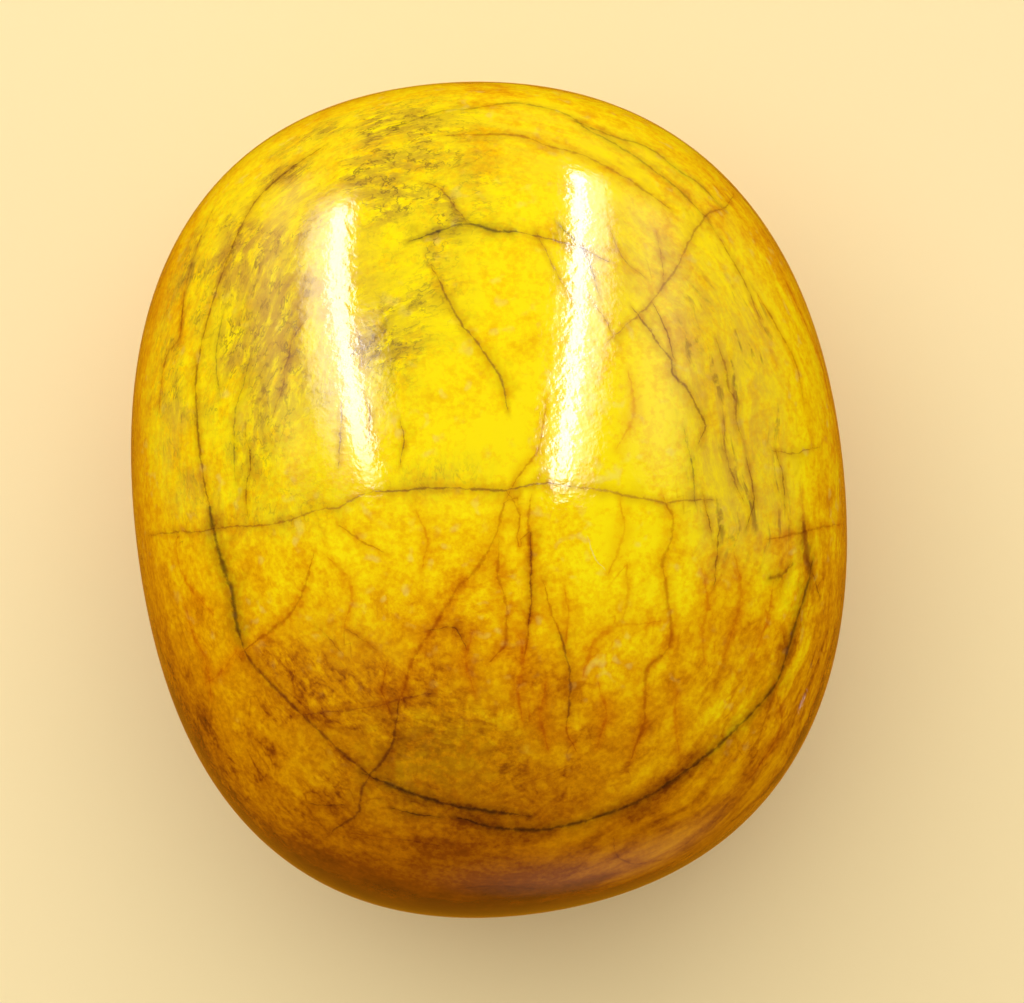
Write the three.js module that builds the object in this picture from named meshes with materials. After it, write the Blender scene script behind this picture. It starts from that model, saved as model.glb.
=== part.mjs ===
// A polished oval stone of yellow beryl, a full handful, as it lies on a table on its back.
// It is one piece: a smooth, full-shouldered oval with a small flat spot underneath that it rests on.
// Millimetres, +Z up. The origin is on the table under the middle of the stone, +Y runs along its length.
import * as THREE from "three";

// Driving dimensions, over all
const LENGTH = 70;
const WIDTH = 59.5;
const THICKNESS = 46;
const FLAT_DEPTH = 0.25; // how much of the dome underneath the resting flat takes off

// Form of the oval, as shares of the plain ellipsoid's radius
const FULLNESS = 0.095; // how far the shoulders stand out
const LOPSIDED = -0.022; // the right side is a little shorter than the left
const FRONT_BULGE = 0.035; // the dome on top is a little higher than the one underneath

// Slow unevenness left by hand polishing: waves over the stone, each with its direction, the number of
// radians it turns from the stone's middle to its surface, and where it starts
const WOBBLE_DEPTH = 0.16;
const WOBBLE_WAVES = [
  { along: new THREE.Vector3(0.8, 0.5, 0.33), turns: 4.6, start: 0.7 },
  { along: new THREE.Vector3(-0.45, 0.85, 0.28), turns: 5.3, start: 2.1 },
  { along: new THREE.Vector3(0.2, -0.35, 0.91), turns: 4.1, start: 4.4 },
];

// The surface is a cube of this many rows of squares a side, blown up into the oval
const ROWS = 28;

const YELLOW_BERYL = new THREE.MeshStandardMaterial({
  color: new THREE.Color(0.93, 0.68, 0.05),
  roughness: 0.12,
  metalness: 0,
});

// Direction from the middle through a point on a cube of side 1, spread so that the squares stay even.
function evenDirection(cubePoint) {
  const spread = (v) => Math.tan((v * Math.PI) / 2);
  return new THREE.Vector3(
    spread(cubePoint.x),
    spread(cubePoint.y),
    spread(cubePoint.z),
  ).normalize();
}

function wobble(direction) {
  const waves = WOBBLE_WAVES.map(({ along, turns, start }) =>
    Math.sin(turns * direction.dot(along) + start),
  );
  return (
    (WOBBLE_DEPTH * waves.reduce((sum, wave) => sum + wave, 0)) / waves.length
  );
}

// Point of the oval's surface in that direction, measured from its middle.
function surfacePoint(direction) {
  const { x, y, z } = direction;
  const full = 1 + FULLNESS * (1 - (x ** 4 + y ** 4 + z ** 4));
  const point = new THREE.Vector3(
    (WIDTH / 2) * x * full,
    (LENGTH / 2) * y * full * (1 + LOPSIDED * x),
    (THICKNESS / 2) * z * full * (1 + FRONT_BULGE * z),
  );
  return point.addScaledVector(direction, wobble(direction));
}

// Trims the geometry's box to these sizes, and sets it on the table over the origin.
function fitBox(geometry, width, length, height) {
  geometry.computeBoundingBox();
  const size = geometry.boundingBox.getSize(new THREE.Vector3());
  const middle = geometry.boundingBox.getCenter(new THREE.Vector3());
  geometry.translate(-middle.x, -middle.y, -geometry.boundingBox.min.z);
  geometry.scale(width / size.x, length / size.y, height / size.z);
}

function stoneGeometry() {
  const geometry = new THREE.BoxGeometry(1, 1, 1, ROWS, ROWS, ROWS);
  geometry.deleteAttribute("uv");
  const positions = geometry.getAttribute("position");
  const point = new THREE.Vector3();
  for (let i = 0; i < positions.count; i++) {
    point.fromBufferAttribute(positions, i);
    const onSurface = surfacePoint(evenDirection(point));
    positions.setXYZ(i, onSurface.x, onSurface.y, onSurface.z);
  }
  fitBox(geometry, WIDTH, LENGTH, THICKNESS + FLAT_DEPTH);
  for (let i = 0; i < positions.count; i++)
    positions.setZ(i, Math.max(positions.getZ(i) - FLAT_DEPTH, 0));
  geometry.computeVertexNormals();
  return geometry;
}

const stone = new THREE.Mesh(stoneGeometry(), YELLOW_BERYL);
stone.name = "stone";

const ovalBeryl = new THREE.Group();
ovalBeryl.add(stone);

export default ovalBeryl;
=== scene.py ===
import math

import bpy
import numpy as np
from mathutils import Matrix, Vector, noise
from mathutils.kdtree import KDTree


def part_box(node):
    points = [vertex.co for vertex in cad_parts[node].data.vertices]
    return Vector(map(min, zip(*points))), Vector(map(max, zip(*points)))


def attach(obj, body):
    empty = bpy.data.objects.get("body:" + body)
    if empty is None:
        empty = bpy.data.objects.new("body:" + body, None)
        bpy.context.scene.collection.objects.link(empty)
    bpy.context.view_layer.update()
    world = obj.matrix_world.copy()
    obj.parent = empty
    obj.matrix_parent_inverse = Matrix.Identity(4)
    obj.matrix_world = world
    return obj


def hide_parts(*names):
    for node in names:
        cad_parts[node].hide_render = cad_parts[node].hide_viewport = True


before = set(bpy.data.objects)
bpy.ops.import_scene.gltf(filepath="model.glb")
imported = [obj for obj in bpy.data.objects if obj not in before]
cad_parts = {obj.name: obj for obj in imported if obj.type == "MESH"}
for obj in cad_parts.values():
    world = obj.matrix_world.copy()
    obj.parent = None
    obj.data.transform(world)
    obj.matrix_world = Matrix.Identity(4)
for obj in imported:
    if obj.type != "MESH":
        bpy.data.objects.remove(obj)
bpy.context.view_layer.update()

# Camera
# It looks straight down on the stone as it lies, so the front faces it squarely. The stone's length leans
# a little to the left of upright in the picture, so the camera is rolled by as much.
MM = 0.001
PICTURE_WIDTH = 1024
PICTURE_HEIGHT = 1003
STONE_MIDDLE = (489, 498)  # pixel at which the middle of the stone shows
PIXEL = 0.0838 * MM  # what a pixel covers at the stone's mid height
LEAN = math.radians(6.6)
CAMERA_DISTANCE = 300 * MM  # above the stone's mid height
SENSOR_WIDTH = 36

low_corner, high_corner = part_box("stone")
mid_height = (low_corner.z + high_corner.z) / 2
roll = Matrix.Rotation(-LEAN, 3, "Z")
aside = roll @ Vector(
    ((PICTURE_WIDTH / 2 - STONE_MIDDLE[0]) * PIXEL, (STONE_MIDDLE[1] - PICTURE_HEIGHT / 2) * PIXEL, 0)
)
bpy.ops.object.camera_add(
    location=aside + Vector((0, 0, mid_height + CAMERA_DISTANCE)), rotation=(0, 0, -LEAN)
)
camera = bpy.context.object
camera.name = "camera"
camera.data.sensor_width = SENSOR_WIDTH
camera.data.lens = SENSOR_WIDTH * CAMERA_DISTANCE / (PICTURE_WIDTH * PIXEL)
camera.data.clip_start = 0.01
camera.data.clip_end = 20
bpy.context.scene.camera = camera


def view_ray(pixel):
    """Direction in which the camera sees that pixel of the picture."""
    step = SENSOR_WIDTH / PICTURE_WIDTH
    across = (pixel[0] - PICTURE_WIDTH / 2) * step
    up = (PICTURE_HEIGHT / 2 - pixel[1]) * step
    return (roll @ Vector((across, up, -camera.data.lens))).normalized()


# Stone: its surface
# One piece of yellow beryl, ground and polished by hand to an oval. The finished surface is still a little
# wavy, and where the brown stain is softest it has lost small chips.
bpy.ops.object.select_all(action="DESELECT")
stone = bpy.data.objects.new("polished_stone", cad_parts["stone"].data.copy())
bpy.context.scene.collection.objects.link(stone)
stone.select_set(True)
bpy.context.view_layer.objects.active = stone
stone.data.materials.clear()
bpy.ops.object.mode_set(mode="EDIT")
bpy.ops.mesh.select_all(action="SELECT")
bpy.ops.mesh.remove_doubles(threshold=0.001 * MM)
bpy.ops.mesh.tris_convert_to_quads(face_threshold=math.radians(40), shape_threshold=math.radians(40))
bpy.ops.object.mode_set(mode="OBJECT")
smooth = stone.modifiers.new("smooth", "SUBSURF")
smooth.levels = 2
smooth.render_levels = 2
bpy.ops.object.modifier_apply(modifier=smooth.name)
bpy.ops.object.shade_smooth()


def read_vertices(attribute):
    """Each vertex's "co" or "normal" as a row of numbers."""
    rows = np.zeros(len(stone.data.vertices) * 3)
    stone.data.vertices.foreach_get(attribute, rows)
    return rows.reshape(-1, 3)


# Subdividing draws the form in by a hair, so it is let out again to its full size.
places = read_vertices("co")
drawn_in_low = places.min(axis=0)
drawn_in_size = places.max(axis=0) - drawn_in_low
places = (places - drawn_in_low) / drawn_in_size * np.array(high_corner - low_corner) + np.array(low_corner)
stone.data.vertices.foreach_set("co", places.ravel())
stone.data.update()
bpy.context.view_layer.update()

# Stone: its cracks
# Healed cracks run through the stone and reach the polished surface as hairlines, stained dark green, brown or
# rust, and soft orange veins lie between them. Each route is a width in mm, a tone, and the pixels of the
# picture that it passes. The routes of one set keep clear of each other, apart from where they cross.
GREEN, MOSS, BROWN, UMBER, RUST, ORANGE, PALE = 0.0, 0.15, 0.30, 0.45, 0.60, 0.80, 1.0
CRACKS = {
    "shoulder": [
        # the loop that follows the shoulder of the front, from the upper left round to the right
        (0.18, UMBER, [(318, 150), (286, 172), (254, 204), (233, 245), (213, 300), (203, 337)]),
        (0.20, UMBER, [(203, 337), (197, 367), (196, 400), (199, 440), (202, 470), (209, 505)]),
        (0.42, GREEN, [(209, 505), (213, 530), (219, 553), (228, 580), (233, 600), (236, 622), (243, 646)]),
        (0.26, UMBER, [(243, 648), (254, 665), (275, 688), (295, 708), (318, 730), (345, 755), (369, 775)]),
        (0.30, GREEN, [(466, 820), (496, 828), (534, 830), (568, 825), (600, 816), (634, 803), (666, 785), (690, 768),
                       (721, 743), (744, 721), (762, 702), (777, 682), (788, 650), (797, 618), (806, 590), (811, 569)]),
        (0.20, GREEN, [(419, 238), (445, 229), (470, 224), (494, 230), (516, 232)]),
        (0.13, UMBER, [(516, 232), (543, 237), (566, 243), (586, 250), (602, 258)]),
        (0.14, UMBER, [(436, 275), (451, 305), (461, 323), (474, 339), (490, 360), (501, 378), (506, 401)]),
        (0.17, UMBER, [(638, 315), (648, 328), (660, 346), (670, 358), (673, 374), (688, 390), (697, 407), (705, 424),
                       (702, 435)]),
        (0.29, RUST, [(530, 504), (528, 519), (530, 550), (531, 573), (531, 601), (529, 624), (526, 647)]),
        (0.22, MOSS, [(380, 132), (420, 118), (443, 111), (469, 109), (515, 103), (563, 113), (586, 128), (620, 147),
                      (647, 165), (677, 188), (700, 211)]),
        (0.13, BROWN, [(181, 330), (185, 290), (196, 250), (210, 216)]),
    ],
    "cross": [
        (0.12, BROWN, [(151, 535), (176, 532), (206, 531), (231, 526), (259, 526), (291, 520), (307, 513), (318, 509),
                       (339, 508), (350, 501), (369, 492)]),
        (0.14, UMBER, [(369, 492), (405, 490), (438, 488), (490, 490), (511, 489), (531, 485), (552, 483), (577, 487)]),
        (0.17, BROWN, [(577, 487), (612, 492), (628, 496), (651, 500), (667, 503), (685, 500), (706, 500)]),
        (0.26, RUST, [(503, 505), (496, 536), (474, 573), (459, 586), (440, 617), (422, 644), (412, 662),
                      (406, 683), (398, 706)]),
        (0.21, UMBER, [(398, 706), (396, 724), (392, 745), (378, 766), (369, 776), (361, 790), (360, 806), (356, 815),
                       (337, 828), (330, 834)]),
        (0.22, RUST, [(247, 648), (275, 627), (293, 612), (305, 586), (311, 562)]),
        (0.21, ORANGE, [(176, 541), (179, 565), (192, 590), (209, 609)]),
        (0.20, RUST, [(774, 538), (795, 534), (822, 527), (843, 524)]),
        (0.13, BROWN, [(777, 451), (795, 453), (816, 448)]),
        (0.12, BROWN, [(419, 181), (439, 188), (452, 203), (463, 217)]),
        (0.15, BROWN, [(614, 336), (636, 317), (651, 303), (664, 284), (678, 266), (687, 245), (699, 225), (710, 213),
                       (724, 208), (733, 196)]),
        (0.25, BROWN, [(450, 135), (514, 135), (545, 145), (579, 154), (605, 166), (631, 181), (662, 203)]),
        (0.09, BROWN, [(541, 241), (552, 264), (567, 290), (582, 317)]),
        (0.22, RUST, [(761, 300), (781, 334), (795, 362), (802, 392)]),
        (0.22, RUST, [(776, 690), (782, 721), (773, 744), (756, 770)]),
        (0.16, BROWN, [(614, 843), (618, 857), (635, 864), (656, 861)]),
        (0.17, BROWN, [(719, 348), (726, 369), (728, 386), (736, 403), (736, 421), (742, 438)]),
    ],
    "branches": [
        (0.28, GREEN, [(371, 777), (402, 790), (429, 799), (455, 806), (489, 811), (520, 815)]),
        (0.23, RUST, [(545, 590), (551, 611), (560, 632)]),
        (0.18, UMBER, [(560, 632), (564, 645), (569, 670), (569, 704), (567, 722)]),
        (0.22, RUST, [(567, 722), (566, 732), (573, 745)]),
        (0.16, RUST, [(511, 489), (522, 470), (536, 455), (541, 436), (545, 410)]),
        (0.25, RUST, [(667, 505), (673, 520), (670, 542), (662, 565), (666, 585), (669, 611), (672, 632), (667, 651),
                      (648, 668), (645, 698), (644, 723), (634, 751)]),
        (0.25, RUST, [(499, 549), (498, 576), (505, 598), (507, 623), (504, 645), (495, 656)]),
        (0.17, BROWN, [(304, 715), (330, 712), (357, 709), (385, 704), (399, 699), (424, 695)]),
        (0.09, MOSS, [(252, 352), (243, 385), (236, 410), (234, 440), (235, 473)]),
        (0.14, BROWN, [(724, 430), (726, 452), (731, 472), (740, 493)]),
        (0.09, MOSS, [(686, 438), (692, 462), (695, 496)]),
        (0.15, UMBER, [(719, 534), (717, 550), (715, 575)]),
        (0.10, GREEN, [(565, 230), (580, 246), (589, 262), (597, 286)]),
        (0.24, MOSS, [(582, 124), (609, 135), (647, 147), (677, 169), (699, 184), (718, 203)]),
        (0.13, BROWN, [(713, 228), (729, 254), (747, 287), (758, 316)]),
        (0.12, UMBER, [(438, 629), (455, 627), (463, 640)]),
        (0.20, UMBER, [(811, 569), (818, 591)]),
        (0.23, ORANGE, [(210, 681), (222, 672), (233, 656)]),
        (0.13, BROWN, [(302, 325), (291, 341), (290, 352), (285, 369), (283, 385), (277, 404)]),
        (0.13, UMBER, [(342, 400), (341, 424), (339, 456)]),
        (0.19, RUST, [(160, 400), (163, 372), (168, 352), (179, 338), (183, 306)]),
        (0.13, UMBER, [(778, 458), (783, 478), (785, 500)]),
        (0.16, UMBER, [(311, 804), (325, 806), (338, 805)]),
        (0.15, BROWN, [(357, 834), (413, 841), (436, 845)]),
        (0.24, BROWN, [(466, 888), (495, 886), (527, 888)]),
    ],
    "strokes": [
        (0.13, UMBER, [(530, 540), (531, 573), (531, 601), (529, 624)]),
        (0.12, UMBER, [(246, 436), (250, 455), (250, 470), (246, 486), (247, 505)]),
        (0.12, UMBER, [(357, 330), (362, 345), (362, 358)]),
        (0.12, UMBER, [(366, 398), (370, 412), (369, 428)]),
        (0.12, UMBER, [(402, 430), (404, 442), (402, 455)]),
        (0.13, UMBER, [(657, 312), (667, 332), (672, 350)]),
        (0.09, BROWN, [(613, 237), (624, 260), (638, 272)]),
        (0.10, UMBER, [(748, 465), (754, 500), (749, 520)]),
        (0.12, UMBER, [(705, 503), (711, 531)]),
        (0.09, BROWN, [(658, 241), (661, 256), (663, 273)]),
        (0.09, BROWN, [(592, 300), (602, 315), (612, 333)]),
        (1.40, UMBER, [(804, 530), (806, 548), (808, 566)]),
        (0.80, UMBER, [(775, 577), (782, 575), (788, 569)]),
        (0.20, RUST, [(510, 496), (519, 514), (518, 538)]),
        (0.19, RUST, [(346, 530), (362, 542), (375, 548)]),
        (0.10, BROWN, [(325, 634), (331, 640), (337, 648)]),
        (0.10, BROWN, [(353, 634), (361, 639), (368, 644)]),
        (0.20, RUST, [(385, 673), (382, 690), (386, 702)]),
        (0.20, GREEN, [(402, 811), (415, 814), (430, 816)]),
        # a thin pale line that is a painted glint on the polish, not a crack
        (0.14, PALE, [(590, 545), (594, 556), (599, 563)]),
        (0.19, RUST, [(790, 290), (806, 325), (820, 360), (828, 392)]),
        (0.11, MOSS, [(222, 320), (216, 355), (219, 390)]),
    ],
    "veins": [
        (0.29, ORANGE, [(622, 510), (624, 530), (617, 555), (612, 566)]),
        (0.31, ORANGE, [(627, 573), (628, 592), (626, 607), (622, 622)]),
        (0.34, ORANGE, [(586, 668), (592, 645), (603, 634), (618, 626), (652, 622)]),
        (0.26, ORANGE, [(566, 598), (569, 612), (567, 632)]),
        (0.34, ORANGE, [(704, 582), (708, 608), (702, 632), (704, 655)]),
        (0.31, ORANGE, [(520, 640), (523, 665), (518, 690), (521, 712)]),
        (0.31, ORANGE, [(676, 700), (675, 722), (678, 746)]),
        (0.34, ORANGE, [(736, 560), (741, 590), (736, 620), (728, 646)]),
        (0.29, ORANGE, [(330, 560), (345, 575), (352, 596), (347, 618)]),
        (0.29, ORANGE, [(420, 520), (428, 540), (424, 560)]),
        (0.31, ORANGE, [(470, 640), (466, 664), (472, 684)]),
        (0.31, ORANGE, [(186, 610), (194, 636), (206, 660), (210, 690)]),
        (0.29, ORANGE, [(630, 380), (634, 402), (630, 425), (622, 440)]),
        (0.31, ORANGE, [(600, 690), (606, 712), (600, 738)]),
        (0.31, ORANGE, [(545, 690), (540, 716), (546, 742)]),
        (0.34, ORANGE, [(772, 590), (768, 620), (756, 650)]),
    ],
}
SAMPLE_STEP = 3.5  # pixels between the points at which a route is laid on the stone

# What a crack and the halo round it leave of the colour under them
CRACK_TINTS = [
    (GREEN, (0.32, 0.30, 0.85)),
    (MOSS, (0.60, 0.58, 0.90)),
    (BROWN, (0.66, 0.54, 0.75)),
    (UMBER, (0.48, 0.37, 0.50)),
    (RUST, (0.72, 0.55, 0.45)),
    (ORANGE, (0.88, 0.70, 0.60)),
    (PALE, (1.00, 1.00, 1.00)),
]
HALO_TINTS = [
    (GREEN, (0.64, 0.58, 1.00)),
    (MOSS, (0.84, 0.81, 1.00)),
    (BROWN, (0.84, 0.74, 0.90)),
    (UMBER, (0.80, 0.69, 0.75)),
    (RUST, (0.90, 0.74, 0.65)),
    (ORANGE, (0.93, 0.78, 0.70)),
    (PALE, (1.00, 1.00, 1.00)),
]

places_mm = places / MM
x, y, z = places_mm.T
NOISE_SEED = 5  # without it, points are pushed about differently in each run
noise.seed_set(NOISE_SEED)


def step(values, start, end):
    """0 up to start, 1 from end on, and smooth in between. End may be the lower of the two."""
    share = np.clip((values - start) / (end - start), 0, 1)
    return share * share * (3 - 2 * share)


def uneven(points, scale, octaves=3):
    """Noise at each of the points, of mean 0 and deviation 1, whose features are about 1 / scale across."""
    rough = np.array([noise.fractal(point, 0.7, 2.0, octaves) for point in (points * scale).tolist()])
    return (rough - rough.mean()) / rough.std()


def pushed(points, scale, distance):
    """The points pushed about by noise, up to that distance in mm."""
    return points + distance * np.array([noise.noise_vector(point) for point in (points * scale).tolist()])


def keep_at_vertices(name, rows):
    """Stores a number, or three, for each vertex, for the material to read."""
    kind, field = ("FLOAT", "value") if rows.ndim == 1 else ("FLOAT_VECTOR", "vector")
    stone.data.attributes.new(name, kind, "POINT").data.foreach_set(field, rows.ravel())


def on_stone(pixel):
    """Point of the stone's surface that the camera sees at that pixel, and the surface's normal there."""
    met, place, normal, _ = stone.ray_cast(camera.location, view_ray(pixel))
    return (place, normal) if met else None


def smooth_route(points):
    """Points every few pixels along a smooth curve through the route's own points."""
    padded = [2 * Vector(points[0]) - Vector(points[1]), *map(Vector, points)]
    padded.append(2 * Vector(points[-1]) - Vector(points[-2]))
    curve = []
    for a, b, c, d in zip(padded, padded[1:], padded[2:], padded[3:]):
        steps = max(1, round((c - b).length / SAMPLE_STEP))
        for t in np.arange(steps) / steps:
            curve.append(
                0.5 * (2 * b + (c - a) * t + (2 * a - 5 * b + 4 * c - d) * t**2 + (3 * b - a - 3 * c + d) * t**3)
            )
    return curve + [Vector(points[-1])]


def lay_cracks(name, cracks):
    """Gives each vertex how far to the side of the nearest crack it is, how far from it, its width and its tone."""
    samples = []
    for width, tone, points in cracks:
        laid = [hit for hit in map(on_stone, smooth_route(points)) if hit]
        for i, (place, normal) in enumerate(laid):
            along = laid[min(i + 1, len(laid) - 1)][0] - laid[max(i - 1, 0)][0]
            side = along.normalized().cross(normal).normalized()
            from_end = min(i, len(laid) - 1 - i)
            taper = min(1, 0.35 + from_end / 8)
            samples.append((place, side, width * taper, tone))
    near = KDTree(len(samples))
    for i, sample in enumerate(samples):
        near.insert(sample[0], i)
    near.balance()
    shape = np.zeros((len(places), 3))
    tones = np.zeros(len(places))
    for i, place in enumerate(places):
        nearest, index, reach = near.find(place)
        _, side, width, tone = samples[index]
        shape[i] = (side.dot(Vector(place) - nearest) / MM, reach / MM, width)
        tones[i] = tone
    keep_at_vertices(name + "_shape", shape)
    keep_at_vertices(name + "_tone", tones)
    return shape[:, 1], shape[:, 2], tones


# Stain has crept from the cracks into the stone on both sides of them, and blooms there.
ragged = 0.45 * uneven(places_mm, 0.9)
bloom = np.ones((len(places), 3))
halo_stops = [tone for tone, _ in HALO_TINTS]
for crack_set, routes in CRACKS.items():
    reach, width, tones = lay_cracks(crack_set, routes)
    strength = 0.50 * step(reach + ragged, 5 * width + 0.4, 0)
    for channel in range(3):
        halo = np.interp(tones, halo_stops, [tint[channel] for _, tint in HALO_TINTS])
        bloom[:, channel] *= 1 - strength * (1 - halo)
keep_at_vertices("bloom", bloom)

# Stone: where its stain and painted shade lie
# The stain is lightest in the middle of the front and deepens to the lower end and the rim, in streaks that
# follow rings round the front's bright middle; towards the lower end the deepening is partly painted shade.
# Dark mineral threads lie in its upper left.
RING_MIDDLE = np.array((-2.0, 3.0, 23.0))
HALF_SIZES = np.array((29.75, 35.0, 23.0))
RING_RADIUS = 30.0
MM_PER_RADIAN = 24.0


def spot(middle_x, middle_y, reach_x, reach_y):
    """1 at that place of the front, and fading to 0 at about those distances from it."""
    return np.exp(-(((x - middle_x) / reach_x) ** 2) - ((y - middle_y) / reach_y) ** 2) * (z > 20)


winding = pushed(pushed(places_mm, 0.11, 1.8), 0.6, 0.30)
outward = (winding - RING_MIDDLE) / HALF_SIZES
outward /= np.linalg.norm(outward, axis=1)[:, None]
from_axis = np.arccos(np.clip(outward[:, 2], -1, 1))
rings = np.column_stack((outward[:, 0] * RING_RADIUS, outward[:, 1] * RING_RADIUS, from_axis * MM_PER_RADIAN))
keep_at_vertices("rings", rings)

drifted = pushed(pushed(places_mm, 0.4, 1.0), 1.1, 0.3)
low_half = step(y + 0.16 * x, 5, -25)
far_end = step(y, -20, -33)
right_half = step(x, 0, 16)
rim = step(z, 38, 23)
flank = step(from_axis, 0.55, 1.05)
low_right = low_half * right_half
low_left = step(y + 0.16 * x, 4, -17) * step(x, 9, -2)
calm = 1 - 0.6 * far_end * step(z, 18, 26)

# Painted shade: the lower half and the lower end are darkened partly as real stain and partly as the shade there.
slow_stain_and_shade = 0.05 + 0.62 * low_half + (0.38 - 0.21 * step(x, 2, 16)) * far_end + rim * (0.14 + 0.17 * step(y, -22, -4) - 0.10 * step(y, 22, 30))
slow_stain_and_shade += 0.14 * step(z, 37, 27) * step(y, 30, 18)
slow_stain_and_shade += 0.045 * uneven(places_mm, 0.13) * calm + 0.045 * uneven(drifted, 0.5, 3) * calm
slow_stain_and_shade -= 0.14 * spot(20, -25, 8, 8) + 0.12 * spot(8.5, -7.5, 7, 7)
slow_stain_and_shade += 0.12 * step(from_axis, 0.90, 1.06) * right_half * step(y, 6, -6) * step(y, -24, -10)
slow_stain_and_shade += 0.08 * step(x, -19, -27) - 0.20 * spot(8, -30.5, 9, 4)
slow_stain_and_shade -= 0.12 * far_end * step(z, 26, 18) + (0.22 * far_end + 0.12 * low_half) * step(z, 18, 6)
vein_zone = (0.7 * low_half + 0.25 * right_half + 0.25 * flank) * step(uneven(places_mm, 0.30, 2), -0.5, 0.7)
vein_zone *= 1 - 0.9 * step(y, -20, -28)
crumb_zone = low_left * step(uneven(places_mm, 0.22, 2), -0.6, 0.5) * step(from_axis, 1.02, 0.84)
crumb_zone *= 1 - 0.7 * step(y, -20, -25)
keep_at_vertices("stain_and_shade_zones", np.column_stack((slow_stain_and_shade, vein_zone, crumb_zone)))

right_flank = flank * step(x, -12, 4)
broad_share = 0.12 + 0.25 * flank + 0.40 * right_flank + 0.60 * low_right * (1 - 0.6 * far_end)
fine_share = (0.06 + 0.08 * flank + 0.34 * right_flank + 0.55 * low_right) * calm
fleck_zone = step(uneven(places_mm, 0.3, 2), -0.3, 0.8) * step(slow_stain_and_shade, 0.7, 0.2)
keep_at_vertices("streak_zones", np.column_stack((broad_share, fine_share, fleck_zone)))

# Along the lines where these are 0 run veins and, on the sides and the back, hairlines.
net_lines = uneven(drifted, 0.24, 4)
long_lines = uneven(rings * np.array((1 / 12, 1 / 12, 1 / 3.6)), 1.0)
side_lines = uneven(pushed(places_mm, 0.2, 1.5), 0.05, 3)
keep_at_vertices("lines", np.column_stack((net_lines, long_lines, side_lines)))
side_zone = step(z, 24, 14) * step(uneven(places_mm, 0.12, 2), -0.4, 0.5)

left_side = np.maximum(step(x, -9, -16) * step(y, -3, 6), step(x, -4, -11) * step(y, 10, 17))
left_band = step(from_axis, 0.36, 0.56) * step(from_axis, 1.06, 0.86) * left_side
top_band = step(from_axis, 0.45, 0.70) * step(from_axis, 1.30, 1.00) * step(x, 8, -4) * step(y, 13, 20)
upper_left = step(x, -2, -10) * step(y, 2, 14) * step(from_axis, 1.30, 1.00)
threaded = np.clip(1.6 * spot(-8, 21, 6, 7) + 0.8 * spot(-7, 14, 4, 3) + 0.45 * left_band + 0.8 * top_band + 0.40 * upper_left, 0, 1)
threaded *= 0.25 + 0.75 * step(uneven(places_mm, 0.17, 2), -0.9, 0.4)
threaded += 0.40 * spot(-3.5, 2, 3.5, 1.4) + 0.30 * spot(-15, 1, 4, 2) + 0.12 * spot(-12, -11, 5, 4)
stroke_zone = step(x, 14, 17.5) * step(x, 26, 22.5) * step(y, -10, -3) * step(y, 18, 11)
stroke_zone += 0.75 * left_band * step(y, -2, 6) * step(uneven(places_mm, 0.16, 2), -0.6, 0.8)
tan_zone = np.clip(stroke_zone + 0.9 * spot(14.5, 18, 6, 6) + 0.8 * spot(-13, 18, 4.5, 9), 0, 1)
arc_band = step(from_axis, 0.62, 0.78) * step(from_axis, 1.25, 1.05) * step(x, 1, 8) * step(y, 8, 16)
tan_zone = np.maximum(tan_zone, 0.45 * arc_band)
low_haze = spot(-6.5, -19.5, 7, 4.5)
keep_at_vertices("dark_zones", np.column_stack((threaded, stroke_zone, low_haze)))
keep_at_vertices("calm_zones", np.column_stack((calm, side_zone, tan_zone)))

# Stone: its material
# Saturated yellow beryl that the stain has turned gold, orange and brown, with pale translucent flecks and dark
# mineral threads in it, under a high polish. Part of the brown towards the lower end is painted shade.
# Colours from the lightest stain to the deepest; the deep end also serves as painted shade at the lower end.
STAIN_AND_SHADE_COLOURS = [
    (0.00, (1.00, 0.80, 0.004)),
    (0.18, (0.95, 0.64, 0.002)),
    (0.40, (0.84, 0.42, 0.0008)),
    (0.62, (0.68, 0.265, 0.0005)),
    (0.82, (0.50, 0.155, 0.0005)),
    (1.00, (0.28, 0.060, 0.001)),
    (1.25, (0.13, 0.022, 0.001)),
]
# The pale colour below is a painted highlight: a thin glint line on the polish.
PALE_FLECK = (0.86, 0.72, 0.16, 1)
PAINTED_GLINT = (0.66, 0.58, 0.32, 1)
OLIVE = (0.50, 0.31, 0.022, 1)
TAN = (0.64, 0.355, 0.045, 1)
DARK_THREAD = (0.15, 0.082, 0.012, 1)
STROKE = (0.19, 0.080, 0.022, 1)
LOW_HAZE = (0.30, 0.14, 0.002, 1)

yellow_beryl = bpy.data.materials.new("yellow_beryl")
yellow_beryl.use_nodes = True
tree = yellow_beryl.node_tree
tree.nodes.clear()


def add_node(kind, sockets, **settings):
    """Adds a node. A socket is given a plain value, or the output of another node."""
    made = tree.nodes.new(kind)
    for name, value in settings.items():
        setattr(made, name, value)
    for name, value in sockets.items():
        if isinstance(value, bpy.types.NodeSocket):
            tree.links.new(value, made.inputs[name])
        else:
            made.inputs[name].default_value = value
    return made


def math_node(operation, *values):
    return add_node("ShaderNodeMath", dict(enumerate(values)), operation=operation).outputs[0]


def total(*values):
    result = values[0]
    for value in values[1:]:
        result = math_node("ADD", result, value)
    return result


def product(*values):
    result = values[0]
    for value in values[1:]:
        result = math_node("MULTIPLY", result, value)
    return result


def fade(value, start, end):
    """0 up to start, 1 from end on, and smooth in between. End may be the lower of the two."""
    sockets = {"Value": value, "From Min": start, "From Max": end}
    return add_node("ShaderNodeMapRange", sockets, interpolation_type="SMOOTHSTEP").outputs[0]


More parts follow.
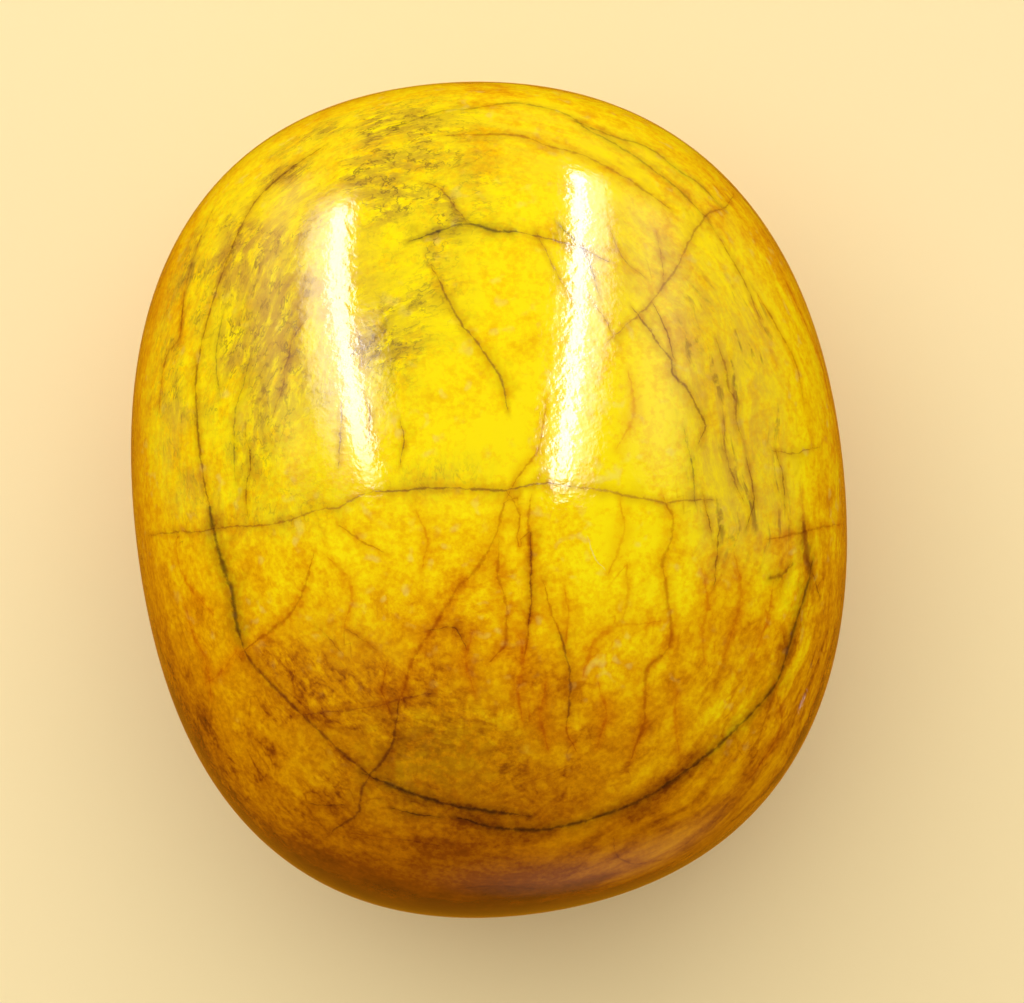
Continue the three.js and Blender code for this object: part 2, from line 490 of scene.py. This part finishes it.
def cloud(vector, scale, detail=3.0, roughness=0.5):
    """Noise round 0.5 whose features are about 1 / scale across."""
    sockets = {"Vector": vector, "Scale": scale, "Detail": detail, "Roughness": roughness}
    return add_node("ShaderNodeTexNoise", sockets).outputs["Fac"]


def mottled(noise_value, strength):
    """Such noise with its contrast raised, from -strength to strength."""
    return product(math_node("SUBTRACT", fade(noise_value, 0.32, 0.68), 0.5), 2 * strength)


def blend(low, high, factor, blend_type="MIX"):
    sockets = {0: factor, 6: low, 7: high}
    return add_node("ShaderNodeMix", sockets, data_type="RGBA", blend_type=blend_type).outputs[2]


def colour_ramp(value, colours):
    """The colour that the value has between the listed ones."""
    top = max(1, colours[-1][0])
    ramp = add_node("ShaderNodeValToRGB", {"Fac": product(value, 1 / top)})
    for place_on_ramp, _ in colours[1:-1]:
        ramp.color_ramp.elements.new(place_on_ramp / top)
    for element, (place_on_ramp, shade) in zip(ramp.color_ramp.elements, colours):
        element.position = place_on_ramp / top
        element.color = (*shade, 1)
    return ramp.outputs["Color"]


def kept(name, output="Vector"):
    """What is stored at the vertices under that name."""
    return add_node("ShaderNodeAttribute", {}, attribute_name=name).outputs[output]


def three_of(vector):
    return add_node("ShaderNodeSeparateXYZ", {"Vector": vector}).outputs


object_place = add_node("ShaderNodeTexCoord", {}).outputs["Object"]
in_mm = add_node("ShaderNodeVectorMath", {0: object_place, "Scale": 1000.0}, operation="SCALE").outputs[0]
ring_place = kept("rings")


def ringed(length, width):
    """Coordinates in which noise makes streaks of that length and width in mm, along the rings."""
    sockets = {0: ring_place, 1: (1 / length, 1 / length, 1 / width)}
    return add_node("ShaderNodeVectorMath", sockets, operation="MULTIPLY").outputs[0]


# The stain, with painted shade towards the lower end and orange veins in it, the veins mostly in the lower half and on
# the right
kept_stain_and_shade, veined, crumbled = three_of(kept("stain_and_shade_zones"))
broad, fine, flecked = three_of(kept("streak_zones"))
net, long_run, side_line = three_of(kept("lines"))
calmed, on_side, tanned = three_of(kept("calm_zones"))
ripple = math_node("SUBTRACT", cloud(in_mm, 0.9, 4.0, 0.65), 0.5)
grain = cloud(in_mm, 2.1, 3.0, 0.65)
broad_streaks = cloud(ringed(8.0, 2.0), 1.0, 3.0, 0.55)
fine_streaks = cloud(ringed(3.8, 0.75), 1.0, 3.0, 0.6)
off_net = math_node("ABSOLUTE", total(net, product(ripple, 0.7)))
off_run = math_node("ABSOLUTE", total(long_run, product(ripple, 0.7)))
streaks = cloud(ringed(2.4, 0.85), 1.0, 4.0, 0.72)
marks = math_node("ABSOLUTE", math_node("SUBTRACT", cloud(ringed(1.7, 0.9), 1.0, 3.0, 0.62), 0.5))
thin_lines = fade(marks, 0.042, 0.0)
wide_lines = fade(marks, 0.10, 0.01)
patchy = fade(cloud(in_mm, 1.1, 3.0, 0.6), 0.36, 0.58)
soft_veins = math_node("MAXIMUM", fade(off_net, 0.50, 0.0), fade(off_run, 0.50, 0.0))
sharp_veins = math_node("MAXIMUM", fade(off_net, 0.16, 0.0), fade(off_run, 0.18, 0.0))
# Stain with painted shade: the slow part darkens the lower end partly for the shade there.
stain_and_shade = total(
    kept_stain_and_shade,
    product(total(product(ripple, 0.33), mottled(grain, 0.10)), calmed),
    product(mottled(broad_streaks, 0.15), broad),
    product(mottled(fine_streaks, 0.11), fine),
    product(total(mottled(streaks, 0.15), product(wide_lines, patchy, 0.17)), crumbled),
    product(total(product(soft_veins, 0.17), product(sharp_veins, 0.06)), veined),
)
colour = colour_ramp(stain_and_shade, STAIN_AND_SHADE_COLOURS)
flecks = fade(cloud(in_mm, 0.9, 1.0), 0.58, 0.76)
colour = blend(colour, PALE_FLECK, product(flecks, flecked, 0.35))

# Dark mineral threads and blots in the upper left, in an olive haze, drawn out along the rings, dark strokes on
# the right, where thin layers come up to the surface, and an olive haze in the lower left
threaded_here, stroked, hazed = three_of(kept("dark_zones"))
olive = product(fade(streaks, 0.34, 0.56), total(product(patchy, 0.18), 0.70))
colour = blend(colour, OLIVE, product(threaded_here, olive))
dark_cores = product(fade(streaks, 0.56, 0.72), 0.60)
dark_threads = product(thin_lines, patchy, 0.75)
colour = blend(colour, DARK_THREAD, product(math_node("MAXIMUM", dark_cores, dark_threads), threaded_here))
dulled = product(thin_lines, patchy, threaded_here)
colour = blend(colour, TAN, product(tanned, total(product(fade(streaks, 0.34, 0.66), 0.44), 0.20)))
strokes = product(fade(fine_streaks, 0.54, 0.70), stroked, patchy)
colour = blend(colour, STROKE, product(strokes, 0.62))
colour = blend(colour, LOW_HAZE, product(hazed, total(product(patchy, 0.35), 0.20)))

# Hairlines on the sides and the back
hairlines = product(fade(math_node("ABSOLUTE", total(side_line, product(ripple, 0.10))), 0.026, 0.004), on_side)
colour = blend(colour, DARK_THREAD, product(hairlines, patchy, 0.65))

# The cracks laid above, in their bloom of stain
colour = blend(colour, kept("bloom"), 1.0, "MULTIPLY")
wander = product(ripple, 0.55)
boldness = total(product(patchy, 0.60), 0.35)


def crack_masks(crack_set):
    """The dark core and the halo of one set of cracks, and its tone."""
    side, reach, width = three_of(kept(crack_set + "_shape"))
    off_line = math_node("ABSOLUTE", total(side, wander))
    core_width = product(width, boldness, 1.25)
    core = product(fade(off_line, core_width, 0.0), fade(reach, 0.95, 0.55))
    halo = product(fade(off_line, total(product(width, 2.6), 0.30), 0.0), fade(reach, 1.6, 0.8))
    return core, halo, kept(crack_set + "_tone", "Fac")


for crack_set in CRACKS:
    core, halo, tone = crack_masks(crack_set)
    dulled = math_node("MAXIMUM", dulled, product(core, fade(tone, 0.55, 0.45)))
    colour = blend(colour, colour_ramp(tone, HALO_TINTS), product(halo, total(product(boldness, 0.40), 0.50)), "MULTIPLY")
    colour = blend(colour, colour_ramp(tone, CRACK_TINTS), product(core, total(product(boldness, 0.6), 0.4)), "MULTIPLY")
    # Painted highlight: the pale route of the strokes is painted as a thin glint.
    if crack_set == "strokes":
        colour = blend(colour, PAINTED_GLINT, product(core, fade(tone, 0.85, 0.97), 0.38))

relief = total(cloud(in_mm, 0.45, 1.0), product(cloud(in_mm, 2.0, 2.0), 0.65))
bump = add_node("ShaderNodeBump", {"Strength": 1.0, "Distance": 0.02 * MM, "Height": relief})
polish = total(product(grain, 0.03), product(dulled, 0.10), 0.03)

surface = add_node(
    "ShaderNodeBsdfPrincipled",
    {"Base Color": colour, "Roughness": polish, "IOR": 1.58, "Normal": bump.outputs["Normal"]},
)
add_node("ShaderNodeOutputMaterial", {"Surface": surface.outputs["BSDF"]})
stone.data.materials.append(yellow_beryl)

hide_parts("stone")
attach(stone, "root")

# Lights
# Two tall strip lights stand beyond the stone's far end, and show in the polish as two bright upright bars.
# A wide soft light above lights the front, and a dim screen by each strip lays a pale veil on the polish.
LIGHT_DISTANCE = 0.8


def mirrored_place(pixel):
    """Point in the room that the polish mirrors to the camera at that pixel."""
    place, normal = on_stone(pixel)
    return place + view_ray(pixel).reflect(normal) * LIGHT_DISTANCE


def off_half(value):
    return math_node("ABSOLUTE", math_node("SUBTRACT", value, 0.5))


def add_panel(name, top, bottom, width, radiance, soft_sides, soft_ends):
    """A flat light that the polish mirrors between two pixels, with edges that fade over those shares of its size."""
    global tree
    start, end = mirrored_place(top), mirrored_place(bottom)
    middle = (start + end) / 2
    upward = (start - end).normalized()
    facing = (middle - Vector((0, 0, mid_height))).normalized()
    across = upward.cross(facing).normalized()
    facing = across.cross(upward).normalized()
    length = (start - end).length
    bpy.ops.object.light_add(type="AREA", location=middle)
    panel = bpy.context.object
    panel.name = name
    panel.rotation_euler = Matrix((across, upward, facing)).transposed().to_euler()
    panel.data.shape = "RECTANGLE"
    panel.data.size = width
    panel.data.size_y = length
    panel.data.energy = radiance * math.pi * width * length
    panel.data.use_nodes = True
    tree = panel.data.node_tree
    parametric = add_node("ShaderNodeNewGeometry", {}).outputs["Parametric"]
    sideways, lengthways, _ = add_node("ShaderNodeSeparateXYZ", {0: parametric}).outputs
    strength = product(
        fade(off_half(sideways), 0.5, 0.5 - soft_sides), fade(off_half(lengthways), 0.5, 0.5 - soft_ends)
    )
    tree.links.new(strength, tree.nodes["Emission"].inputs["Strength"])
    panel.visible_camera = False
    panel.visible_diffuse = False


add_panel("left_strip", (345, 198), (373, 496), 0.095, 11, 0.34, 0.14)
add_panel("left_glow", (335, 184), (362, 500), 0.23, 5.5, 0.50, 0.30)
add_panel("left_tail", (358, 296), (376, 456), 0.19, 4, 0.50, 0.40)
add_panel("right_strip", (575, 167), (554, 498), 0.054, 12.5, 0.28, 0.06)
add_panel("right_glow", (584, 164), (560, 502), 0.17, 6, 0.50, 0.12)
add_panel("left_veil", (306, 170), (312, 500), 0.26, 0.6, 0.5, 0.15)
add_panel("right_veil", (636, 185), (642, 500), 0.34, 0.85, 0.5, 0.2)
add_panel("low_veil", (440, 856), (745, 796), 0.50, 0.19, 0.5, 0.5)
add_panel("low_glint", (806, 690), (799, 712), 0.05, 1.3, 0.5, 0.5)

bpy.ops.object.light_add(type="AREA", location=(-0.08, 0.50, 0.70))
key_light = bpy.context.object
key_light.name = "soft_light"
key_light.rotation_euler = (Vector((0, 0, 0.02)) - key_light.location).to_track_quat("-Z", "Y").to_euler()
key_light.data.size = 1.3
key_light.data.energy = 7.6
key_light.visible_glossy = False
key_light.visible_camera = False

# The room is evenly lit, but the polish mirrors only the pale surfaces round it and not the dark above.
ROOM_GLOW = (1.0, 0.93, 0.80, 1)
MIRRORED_BELOW = (0.44, 0.18, 0.005, 1)
MIRRORED_ABOVE = (0.01, 0.01, 0.01, 1)
world = bpy.data.worlds.new("room")
bpy.context.scene.world = world
world.use_nodes = True
tree = world.node_tree
direction = add_node("ShaderNodeTexCoord", {}).outputs["Generated"]
height = add_node("ShaderNodeSeparateXYZ", {"Vector": direction}).outputs["Z"]
mirrored = blend(MIRRORED_BELOW, MIRRORED_ABOVE, fade(height, -0.1, 0.35))
mirrored_glow = add_node("ShaderNodeBackground", {"Color": mirrored, "Strength": 1.0})
glow = tree.nodes["Background"]
glow.inputs["Color"].default_value = ROOM_GLOW
glow.inputs["Strength"].default_value = 0.54
which = add_node(
    "ShaderNodeMixShader",
    {0: add_node("ShaderNodeLightPath", {}).outputs["Is Glossy Ray"], 1: glow.outputs[0], 2: mirrored_glow.outputs[0]},
)
tree.links.new(which.outputs[0], tree.nodes["World Output"].inputs["Surface"])
bpy.context.scene.view_settings.view_transform = "Standard"

# Floor
# A plain pale surface that the stone lies on.
FLOOR_CREAM = (0.98, 0.81, 0.455, 1)
bpy.ops.mesh.primitive_circle_add(vertices=96, radius=2.5, fill_type="NGON", location=(0, 0, low_corner.z))
floor = bpy.context.object
floor.name = "floor"
floor_paint = bpy.data.materials.new("floor_paint")
floor_paint.use_nodes = True
floor_surface = floor_paint.node_tree.nodes["Principled BSDF"]
floor_surface.inputs["Base Color"].default_value = FLOOR_CREAM
floor_surface.inputs["Roughness"].default_value = 0.9
floor.data.materials.append(floor_paint)
floor.visible_glossy = False
